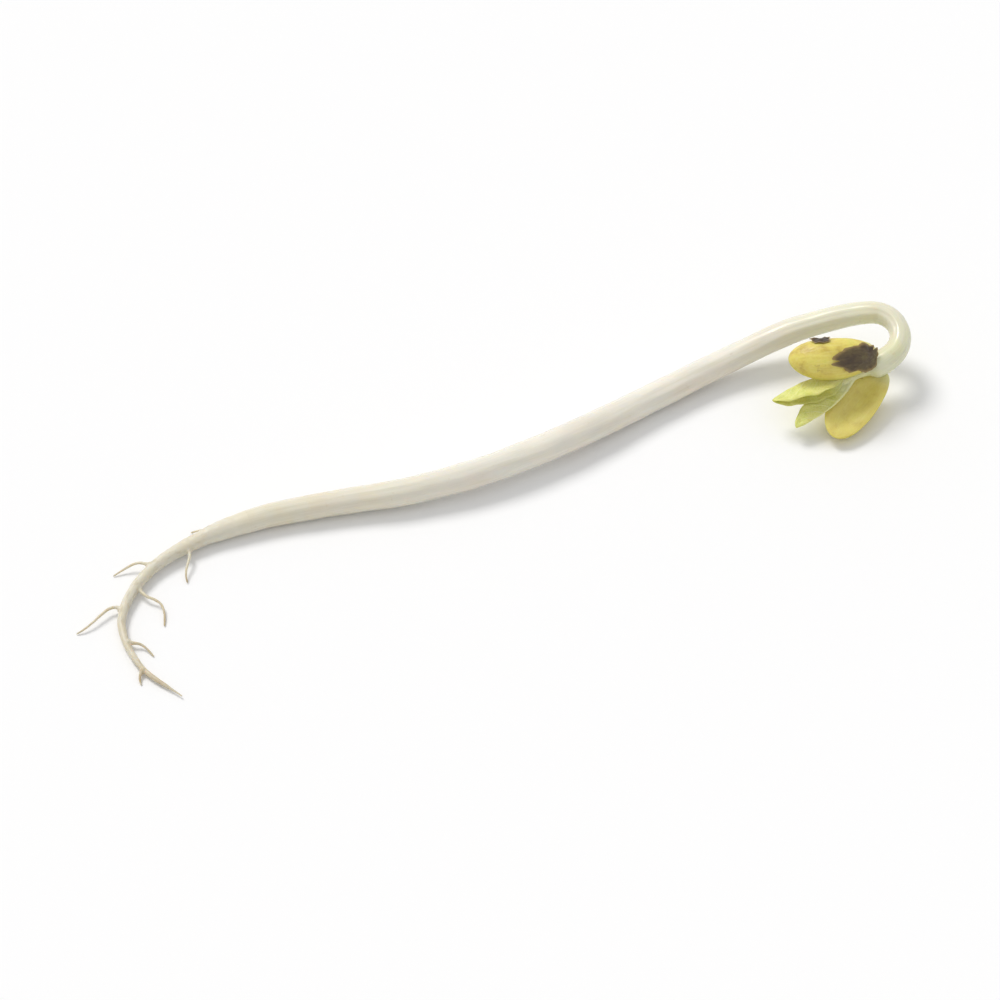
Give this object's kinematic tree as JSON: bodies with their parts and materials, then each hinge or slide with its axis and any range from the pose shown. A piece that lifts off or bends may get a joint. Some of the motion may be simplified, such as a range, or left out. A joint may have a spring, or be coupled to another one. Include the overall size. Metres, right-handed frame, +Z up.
{
  "type": "mung bean sprout",
  "caption": "Mung bean sprout as picked, lying on its side: plump white hooked stem, thin root with side rootlets, half-open yellow seed leaves, young leaves and torn seed coat.",
  "frame": {"origin": "middle of the footprint, on the surface the sprout lies on", "axes": "+Z up from the surface, +X along the sprout from the root towards the hook, +Y to the far side"},
  "size_m": [0.074, 0.043, 0.007],
  "materials": {
    "stem": "satin",
    "root": "satin",
    "seed_leaf": "satin",
    "shoot": "satin",
    "leaf": "satin",
    "seed_skin": "matte"
  },
  "bodies": {
    "root": {"hypocotyl": "stem", "root": "root", "cotyledon_lower": "seed_leaf", "cotyledon_upper": "seed_leaf", "epicotyl": "shoot", "primary_leaf_left": "leaf", "primary_leaf_right": "leaf", "seed_coat": "seed_skin", "seed_coat_scrap": "seed_skin"}
  },
  "joints": []
}
